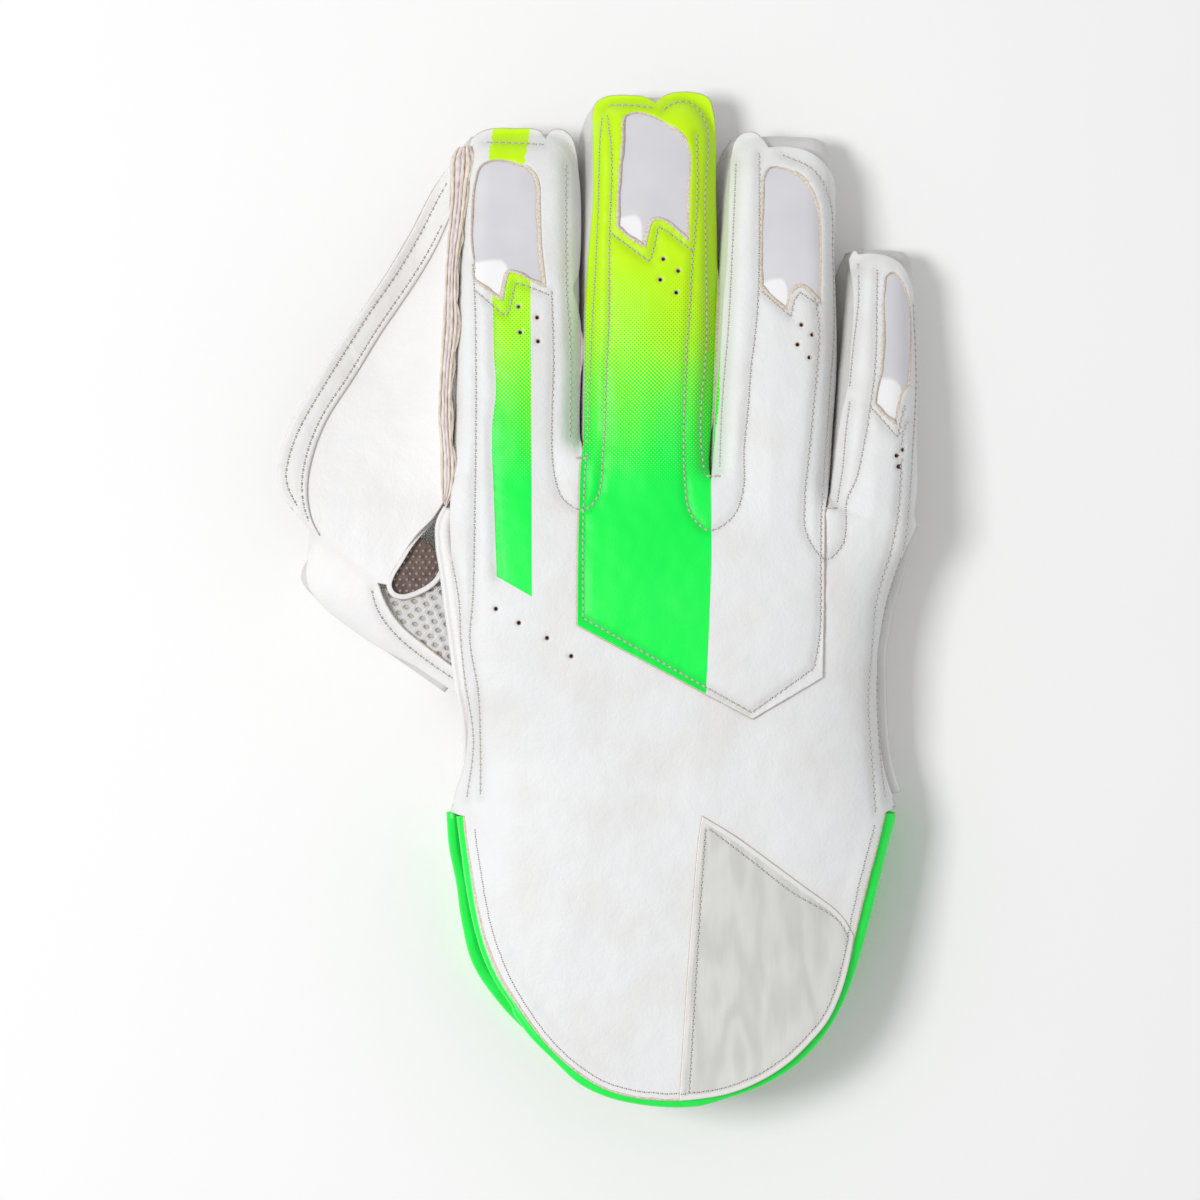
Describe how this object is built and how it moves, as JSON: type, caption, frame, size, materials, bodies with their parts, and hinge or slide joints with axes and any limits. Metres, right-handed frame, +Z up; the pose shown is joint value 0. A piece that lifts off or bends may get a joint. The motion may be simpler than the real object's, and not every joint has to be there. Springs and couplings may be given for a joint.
{
  "type": "wicketkeeping glove",
  "caption": "Right-hand padded leather cricket glove with hollow fingers, a web between thumb and index finger, fingertip guards and an open two-tongued cuff.",
  "frame": {"origin": "centre of the footprint, on the surface that the glove lies on", "axes": "+X towards the little finger, +Y from the cuff to the fingertips, +Z up out of the back of the hand"},
  "size_m": [0.207, 0.3244, 0.0453],
  "materials": {
    "white_leather": "satin",
    "printed_leather": "satin, with a colour that runs from yellow at the fingertip to green on the hand",
    "pearl_leather": "smooth, pearly",
    "green_edging": "gloss",
    "guard_plastic": "gloss",
    "raw_leather": "raw cut edge",
    "net": "open net",
    "rubber": "matt, pimpled"
  },
  "bodies": {
    "root": {"index_sleeve": "white_leather", "index_back_panel": "white_leather", "index_tip_guard": "guard_plastic", "index_facing": "rubber", "middle_sleeve": "white_leather", "middle_back_panel": "printed_leather", "middle_tip_guard": "guard_plastic", "middle_facing": "rubber", "ring_sleeve": "white_leather", "ring_back_panel": "white_leather", "ring_tip_guard": "guard_plastic", "ring_facing": "rubber", "little_sleeve": "white_leather", "little_back_panel": "white_leather", "little_tip_guard": "guard_plastic", "little_facing": "rubber", "thumb_sleeve": "white_leather", "thumb_facing": "rubber", "hand_back": "white_leather", "hand_palm": "white_leather", "palm_facing": "rubber", "thumb_side_welt": "white_leather", "little_side_welt": "white_leather", "centre_overlay": "printed_leather", "cuff_patch": "pearl_leather", "back_cuff_binding": "green_edging", "palm_cuff_binding": "green_edging", "catch_web": "white_leather", "web_hem": "white_leather", "web_seam": "raw_leather", "net_gusset": "net", "crotch_flap": "rubber"}
  },
  "joints": []
}
